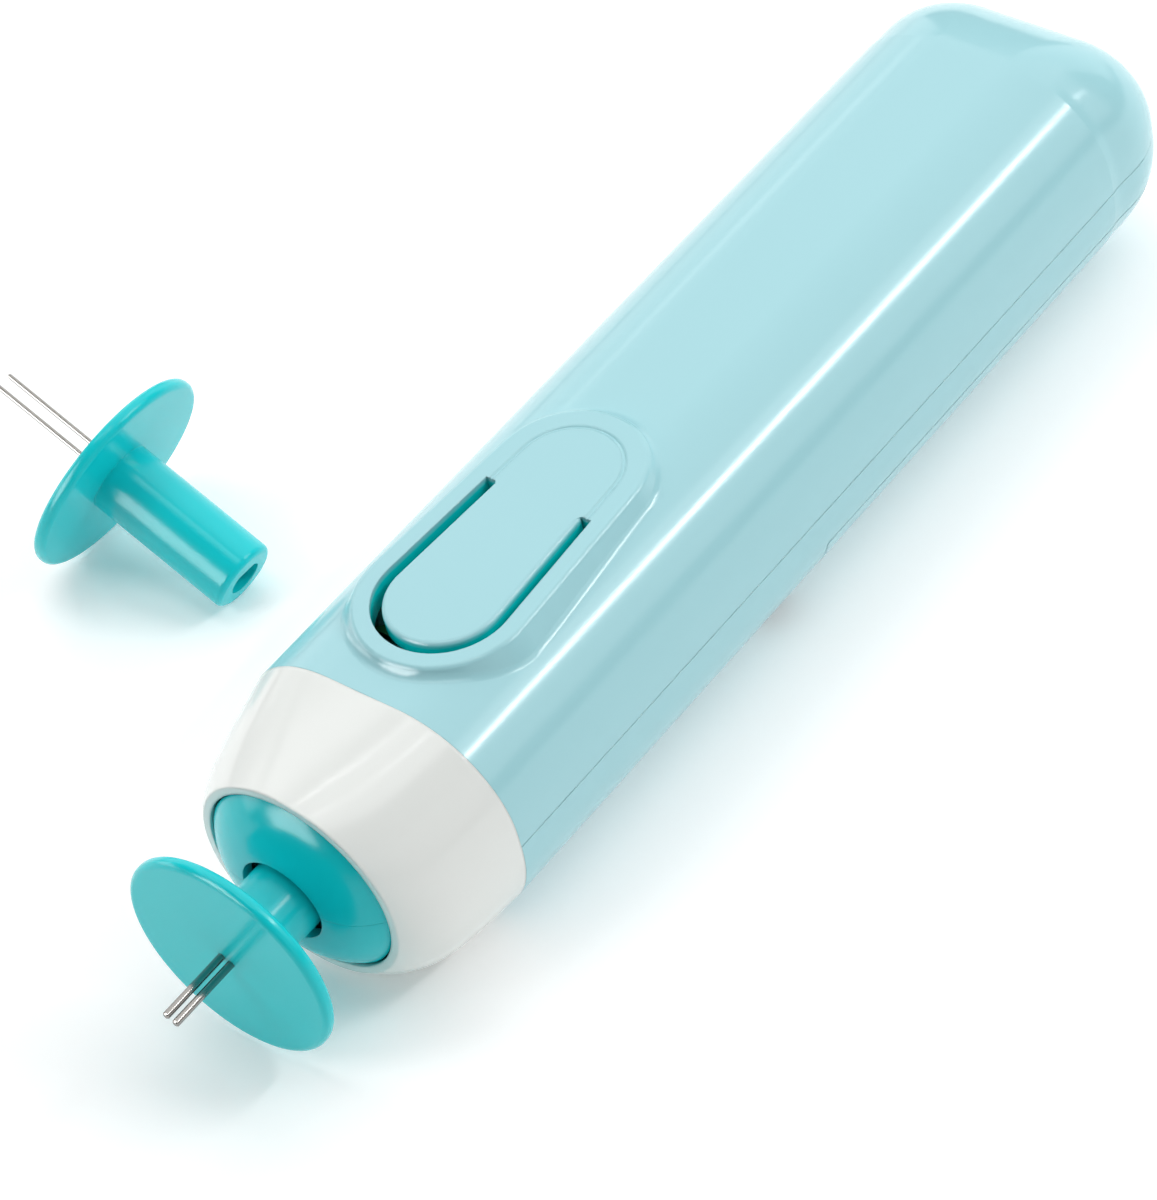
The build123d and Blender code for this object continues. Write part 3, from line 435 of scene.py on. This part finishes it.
def metal(name, colour, shine, dull):
    material, tree, shader = start_material(name, Base_Color=(*colour, 1), Metallic=1.0)
    wear = {"Shine": shine, "Dullness": dull}
    use_group(tree, handling, wear, "Roughness", shader.inputs["Roughness"])
    bump = add_node(tree, "ShaderNodeBump", {"Strength": 0.15, "Distance": 0.0001})
    use_group(tree, lines, {}, "Height", bump.inputs["Height"])
    join(tree, bump.outputs["Normal"], shader.inputs["Normal"])
    return material


steel = metal("drawn_steel", (0.52, 0.51, 0.49), 0.16, 0.28)
polished = metal("polished_pin", (0.30, 0.29, 0.275), 0.08, 0.14)
plating = metal("nickel_plating", (0.66, 0.64, 0.6), 0.15, 0.25)
zinc = metal("zinc_plated_can", (0.6, 0.6, 0.58), 0.25, 0.4)
brass = metal("turned_brass", (0.75, 0.55, 0.25), 0.2, 0.32)


# %% Dress the CAD nodes
def dress(material, *names):
    for name in names:
        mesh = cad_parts[name].data
        mesh.materials.clear()
        mesh.materials.append(material)


dress(aqua, "upper_housing", "lower_housing", "battery_cover", "button_flap")
dress(white, "collar")
dress(teal, "nose_insert_upper", "nose_insert_lower", "head_disc", "spare_head_disc")
dress(natural, "front_bush", "output_gear", "first_gear", "second_gear", "third_gear")
dress(black, "gearbox_front_plate", "gearbox_rear_plate", "motor_end_cap")
dress(black, "switch_body", "switch_plunger")
dress(jacket, "battery_cell_1", "battery_cell_2")
dress(mask, "switch_board")
dress(steel, "spindle", "layshaft", "gearbox_pillars", "board_screws", "housing_screws")
dress(polished, "head_pins", "spare_head_pins")
dress(plating, "positive_contact")
dress(zinc, "motor_can")
dress(brass, "motor_pinion", "motor_terminals")
bare = [name for name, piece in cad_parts.items() if len(piece.data.materials) != 1]
print("nodes without a finish:", bare)

# %% [markdown]
# On the real tool the button is a tongue of the upper housing. Three of its sides are cut free and
# the fourth bends, so no seam crosses its root. The solids have the tongue as a piece of its own,
# with a hair's gap there. This skin lies over the gap, a hundredth of a millimetre proud, and runs
# along the tongue from the channel round its tail to near its front. It is baked in place.

# %% Button root skin
ROOT_AT = -29.0
lean = math.asin((FRONT_RADIUS - REAR_RADIUS) / (FRONT_AT - REAR_AT))


def outline_half_width(along, inset):
    """Half the width of the button's outline, drawn in by an inset, at a place along the tool."""
    if along > FRONT_AT + (FRONT_RADIUS - inset) * math.sin(lean):
        return math.sqrt(max((FRONT_RADIUS - inset) ** 2 - (along - FRONT_AT) ** 2, 0))
    if along >= REAR_AT + (REAR_RADIUS - inset) * math.sin(lean):
        return (REAR_RADIUS - inset) / math.cos(lean) + (along - REAR_AT) * math.tan(lean)
    reach = (REAR_RADIUS - inset) ** 2 - (along - REAR_AT) ** 2
    return math.sqrt(max(reach, 0))


LAND_INSET, TONGUE_INSET = 0.3, 1.1
NARROWING_START, NARROWING_RUN = ROOT_AT - 0.7, 1.5
SKIN_START, SKIN_END = REAR_AT - REAR_RADIUS + LAND_INSET, FRONT_AT + FRONT_RADIUS - TONGUE_INSET
LEAST_HALF = 0.05
ROWS, LANES = 180, 24
PROUD, SUNK = 0.012, 0.25
skin_mesh = bmesh.new()
grid = {}
for row in range(ROWS + 1):
    along = SKIN_START + (SKIN_END - SKIN_START) * (1 - math.cos(math.pi * row / ROWS)) / 2
    fade = min(max((along - NARROWING_START) / NARROWING_RUN, 0), 1)
    inset = LAND_INSET + (TONGUE_INSET - LAND_INSET) * fade * fade * (3 - 2 * fade)
    half = max(outline_half_width(along, inset), LEAST_HALF)
    for lane in range(LANES + 1):
        side = half * (2 * lane / LANES - 1)
        for layer, height in enumerate((PROUD, -SUNK)):
            spot = place(along, side, 0)
            spot.z = PAD_TOP + height * MM
            grid[row, lane, layer] = skin_mesh.verts.new(spot)
for row in range(ROWS):
    for lane in range(LANES):
        for layer in (0, 1):
            around = [(row, lane), (row + 1, lane), (row + 1, lane + 1), (row, lane + 1)]
            skin_mesh.faces.new([grid[at, across, layer] for at, across in around])
rims = [((row, lane), (row + 1, lane)) for row in range(ROWS) for lane in (0, LANES)]
rims += [((row, lane), (row, lane + 1)) for lane in range(LANES) for row in (0, ROWS)]
for first, second in rims:
    skin_mesh.faces.new([grid[*first, 0], grid[*second, 0], grid[*second, 1], grid[*first, 1]])
bmesh.ops.recalc_face_normals(skin_mesh, faces=skin_mesh.faces)


def finish_mesh(made, name, material):
    mesh = bpy.data.meshes.new(name)
    made.to_mesh(mesh)
    made.free()
    piece = bpy.data.objects.new(name, mesh)
    bpy.context.scene.collection.objects.link(piece)
    mesh.materials.append(material)
    print(name, len(mesh.polygons), "faces")
    return piece


aqua_flat = plastic("aqua_abs_flat", *AQUA_RECIPE, 0)
root_skin = finish_mesh(skin_mesh, "button_root_skin", aqua_flat)
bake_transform(root_skin)

# %% [markdown]
# Round the tongue's tail the cut runs out into a shallow moulded channel. In the solids the channel
# is square. This lining turns it into the soft hollow that a polished mould leaves. It follows the
# channel's line from one side of the root, round the tail, to the other side, with rows of points
# that dip in the middle.

# %% Channel lining
STEPS, LANES_ACROSS = 96, 12
HALF_CHANNEL, DIP, LINING_DEPTH = 0.27, 0.12, 0.28
CHANNEL_END = ROOT_AT - 0.1
channel = bmesh.new()
tail_angle = math.pi / 2 - lean
rings = []
for step in range(STEPS + 1):
    share = step / STEPS * 4 - 2
    ring = []
    for lane in range(LANES_ACROSS + 1):
        across = HALF_CHANNEL * (1 - 2 * lane / LANES_ACROSS)
        reach = REAR_RADIUS + across
        tangent = REAR_AT + reach * math.sin(lean)
        if abs(share) > 1:
            along = tangent + (CHANNEL_END - tangent) * (abs(share) - 1)
            side = math.copysign(reach / math.cos(lean) + (along - REAR_AT) * math.tan(lean), share)
        else:
            angle = share * (math.pi - tail_angle)
            along, side = REAR_AT - reach * math.cos(angle), reach * math.sin(angle)
        dip = DIP * (1 + math.cos(math.pi * across / HALF_CHANNEL)) / 2
        spot = place(along, side, 0)
        spot.z = PAD_TOP + (PROUD / 2 - dip) * MM
        ring.append(channel.verts.new(spot))
    for at in (ring[-1], ring[0]):
        ring.append(channel.verts.new((at.co.x, at.co.y, PAD_TOP - LINING_DEPTH * MM)))
    rings.append(ring)
for before, after in zip(rings, rings[1:]):
    for at in range(len(before)):
        channel.faces.new([before[at - 1], before[at], after[at], after[at - 1]])
for end in (rings[0], rings[-1]):
    channel.faces.new(end)
bmesh.ops.recalc_face_normals(channel, faces=channel.faces)
for face in channel.faces:
    face.smooth = face.normal.z > 0.5
lining = finish_mesh(channel, "button_channel_lining", aqua_flat)
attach(lining, "housing")

# %% [markdown]
# Each cell is pressed home by a cone of spring wire. A coiling machine winds such a spring, and its
# wide end is welded to a stamped, plated steel plate. The rule is a spiral with a round section, so
# Geometry Nodes wind it, and the plate is added to the same mesh.

# %% Geometry Nodes: cell spring
CELL_SPRING = {
    "Turns": 2.81, "Root Radius": 4.2 * MM, "Tip Radius": 2.67 * MM,
    "Height": 3.8 * MM, "Wire Radius": 0.35 * MM,
}
spring_tree = bpy.data.node_groups.new("cell_spring", "GeometryNodeTree")
spring_tree.interface.new_socket("Geometry", in_out="OUTPUT", socket_type="NodeSocketGeometry")
for label in CELL_SPRING:
    spring_tree.interface.new_socket(label, in_out="INPUT", socket_type=FLOAT)
given = add_node(spring_tree, "NodeGroupInput")
wind = add_node(spring_tree, "GeometryNodeCurveSpiral", {"Resolution": 40})
section = add_node(spring_tree, "GeometryNodeCurvePrimitiveCircle", {"Resolution": 14})
sweep = add_node(spring_tree, "GeometryNodeCurveToMesh", {"Fill Caps": True})
smooth = add_node(spring_tree, "GeometryNodeSetShadeSmooth")
real = add_node(spring_tree, "GeometryNodeRealizeInstances")
coat = add_node(spring_tree, "GeometryNodeSetMaterial", {"Material": plating})
result = add_node(spring_tree, "NodeGroupOutput")
sockets = {
    "Turns": "Rotations", "Root Radius": "Start Radius", "Tip Radius": "End Radius",
    "Height": "Height",
}
for label, target in sockets.items():
    join(spring_tree, given.outputs[label], wind.inputs[target])
join(spring_tree, given.outputs["Wire Radius"], section.inputs["Radius"])
join(spring_tree, wind.outputs["Curve"], sweep.inputs["Curve"])
join(spring_tree, section.outputs["Curve"], sweep.inputs["Profile Curve"])
join(spring_tree, sweep.outputs["Mesh"], smooth.inputs["Geometry"])
join(spring_tree, smooth.outputs["Geometry"], real.inputs["Geometry"])
join(spring_tree, real.outputs["Geometry"], coat.inputs["Geometry"])
join(spring_tree, coat.outputs["Geometry"], result.inputs["Geometry"])


# %% Cell contacts
CORNER_RADIUS, CORNER_STEP = 1.0 * MM, 15
PLATE_THICKNESS = 0.4 * MM
CELL_SIDE = 7.3
FRONT_SPRING_AT, REAR_SPRING_AT = -57.4, -111.75


def wound_spring(values):
    """The mesh that the spring's nodes make with these values."""
    holder = bpy.data.objects.new("spring_holder", bpy.data.meshes.new("spring_holder"))
    bpy.context.scene.collection.objects.link(holder)
    modifier = holder.modifiers.new("wind", "NODES")
    modifier.node_group = spring_tree
    for item in spring_tree.interface.items_tree:
        if item.in_out == "INPUT":
            modifier[item.identifier] = values[item.name]
    shape = holder.evaluated_get(bpy.context.evaluated_depsgraph_get())
    mesh = bpy.data.meshes.new_from_object(shape)
    bpy.data.objects.remove(holder)
    return mesh


def contact(name, plate_box, spring_start, spring_side, direction):
    """A plate with rounded corners and its spring, which points forward for 1, back for -1."""
    made = bmesh.new()
    made.from_mesh(wound_spring(CELL_SPRING))
    turned = Matrix.Rotation(math.radians(90 * direction), 4, "Y")
    stand = Matrix.Translation(place(spring_start, spring_side, 0)) @ turned
    bmesh.ops.transform(made, matrix=stand, verts=made.verts)
    low, high = plate_box
    plate_corners = ((high.y, high.z), (low.y, high.z), (low.y, low.z), (high.y, low.z))
    outline = []
    for corner, (y, z) in enumerate(plate_corners):
        middle_y = y - math.copysign(CORNER_RADIUS, y - (low.y + high.y) / 2)
        middle_z = z - math.copysign(CORNER_RADIUS, z - (low.z + high.z) / 2)
        for angle in range(90 * corner, 90 * corner + 91, CORNER_STEP):
            out_y = CORNER_RADIUS * math.cos(math.radians(angle))
            out_z = CORNER_RADIUS * math.sin(math.radians(angle))
            outline.append((middle_y + out_y, middle_z + out_z))
    sheets = [[made.verts.new((x, y, z)) for y, z in outline] for x in (low.x, high.x)]
    new_faces = [made.faces.new(sheet) for sheet in sheets]
    for at in range(len(outline)):
        wall = [sheets[0][at - 1], sheets[0][at], sheets[1][at], sheets[1][at - 1]]
        new_faces.append(made.faces.new(wall))
    bmesh.ops.recalc_face_normals(made, faces=new_faces)
    piece = finish_mesh(made, name + "_wound", plating)
    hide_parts(name)
    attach(piece, "housing")


negative_low, negative_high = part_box("negative_contact")
negative_low.x = negative_high.x - PLATE_THICKNESS
contact("negative_contact", (negative_low, negative_high), FRONT_SPRING_AT, -CELL_SIDE, -1)
bridge_low, bridge_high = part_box("bridge_contact")
bridge_high.x = bridge_low.x + PLATE_THICKNESS
contact("bridge_contact", (bridge_low, bridge_high), REAR_SPRING_AT, CELL_SIDE, 1)
